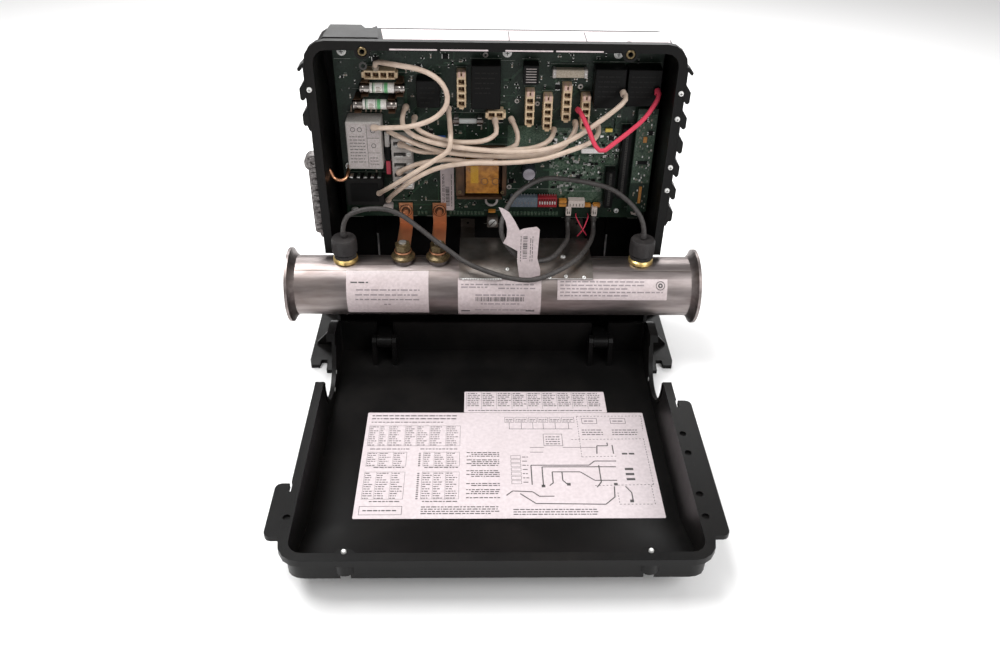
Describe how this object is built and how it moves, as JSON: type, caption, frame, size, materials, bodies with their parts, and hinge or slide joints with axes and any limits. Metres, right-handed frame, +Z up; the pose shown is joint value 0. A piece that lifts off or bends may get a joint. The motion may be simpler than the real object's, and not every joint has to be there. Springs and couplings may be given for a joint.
{
  "type": "spa heater control pack",
  "caption": "Open spa control pack: a tray with a circuit board and a flow-through heater tube, and a hinged lid that lies flat.",
  "frame": {"origin": "middle of the footprint of the opened pack, on the surface it stands on", "axes": "+X along the heater tube, +Y from the lid to the back of the tray, +Z up"},
  "size_m": [0.381, 0.3804, 0.313],
  "materials": {
    "black_plastic": "satin moulded",
    "zinc": "zinc plated",
    "brass": "turned",
    "cast_aluminium": "cast",
    "board_green": "solder-mask lacquer",
    "relay_black": "moulded",
    "relay_white": "printed label",
    "beige_plastic": "moulded",
    "transformer_steel": "varnished laminations",
    "yellow_tape": "polyester tape",
    "capacitor_sleeve": "shrink sleeve",
    "cream_nylon": "moulded nylon",
    "white_ceramic": "glazed ceramic",
    "glass": "clear",
    "switch_red": "moulded",
    "switch_white": "moulded",
    "heater_steel": "brushed stainless",
    "steel": "drawn",
    "insulator": "moulded phenolic",
    "copper": "bare copper",
    "black_nylon": "moulded nylon",
    "bracket_steel": "dull galvanised",
    "cream_wire": "wire insulation",
    "red_wire": "wire insulation",
    "grey_cable": "cable jacket"
  },
  "bodies": {
    "base": {"base_shell": "black_plastic", "mount_foot_left": "black_plastic", "mount_foot_right": "black_plastic", "cord_clamp_right": "black_plastic", "cord_clamp_left": "black_plastic", "terminal_nut_left": "brass", "terminal_nut_right": "brass", "bonding_bar": "cast_aluminium", "circuit_board": "board_green", "daughter_board": "board_green", "relay_1": "relay_black", "relay_2": "relay_black", "relay_3": "relay_black", "relay_4": "relay_black", "power_relay": "relay_white", "terminal_block": "beige_plastic", "transformer_core": "transformer_steel", "transformer_coil": "yellow_tape", "capacitor": "capacitor_sleeve", "load_socket_1": "cream_nylon", "load_socket_2": "cream_nylon", "load_socket_3": "cream_nylon", "load_socket_4": "cream_nylon", "load_socket_5": "cream_nylon", "mains_socket": "cream_nylon", "pump_socket": "cream_nylon", "power_fuse_1": "white_ceramic", "power_fuse_2": "white_ceramic", "glass_fuse": "glass", "dip_switch_body": "switch_red", "heater_tube": "heater_steel", "heater_element": "steel", "terminal_insulator_left": "insulator", "terminal_insulator_right": "insulator", "copper_strap_left": "copper", "copper_strap_right": "copper", "sensor_left": "black_nylon", "sensor_right": "black_nylon", "tube_bracket": "bracket_steel", "jumper_1": "cream_wire", "jumper_2": "cream_wire", "jumper_3": "cream_wire", "jumper_4": "cream_wire", "jumper_5": "cream_wire", "jumper_6": "cream_wire", "jumper_7": "cream_wire", "jumper_8": "cream_wire", "red_jumper": "red_wire", "sensor_cable_left": "grey_cable", "sensor_cable_right": "grey_cable"},
    "lid": {"lid_shell": "black_plastic", "lid_screw_left": "zinc", "lid_screw_right": "zinc"},
    "dip_lever_1": {"dip_lever_1": "switch_white"},
    "dip_lever_2": {"dip_lever_2": "switch_white"},
    "dip_lever_3": {"dip_lever_3": "switch_white"},
    "dip_lever_4": {"dip_lever_4": "switch_white"},
    "dip_lever_5": {"dip_lever_5": "switch_white"},
    "dip_lever_6": {"dip_lever_6": "switch_white"},
    "dip_lever_7": {"dip_lever_7": "switch_white"}
  },
  "joints": [
    {"name": "lid_hinge", "type": "hinge", "parent": "base", "child": "lid", "pos_m": [0, 0.09275, 0.03], "axis": [1, 0, 0], "range_deg": [-90, 0]},
    {"name": "lever_1_slide", "type": "slide", "parent": "base", "child": "dip_lever_1", "axis": [0, 0, 1], "range_m": [0, 0.003]},
    {"name": "lever_2_slide", "type": "slide", "parent": "base", "child": "dip_lever_2", "axis": [0, 0, 1], "range_m": [0, 0.003]},
    {"name": "lever_3_slide", "type": "slide", "parent": "base", "child": "dip_lever_3", "axis": [0, 0, 1], "range_m": [0, 0.003]},
    {"name": "lever_4_slide", "type": "slide", "parent": "base", "child": "dip_lever_4", "axis": [0, 0, 1], "range_m": [0, 0.003]},
    {"name": "lever_5_slide", "type": "slide", "parent": "base", "child": "dip_lever_5", "axis": [0, 0, 1], "range_m": [0, 0.003]},
    {"name": "lever_6_slide", "type": "slide", "parent": "base", "child": "dip_lever_6", "axis": [0, 0, 1], "range_m": [0, 0.003]},
    {"name": "lever_7_slide", "type": "slide", "parent": "base", "child": "dip_lever_7", "axis": [0, 0, 1], "range_m": [0, 0.003]}
  ]
}
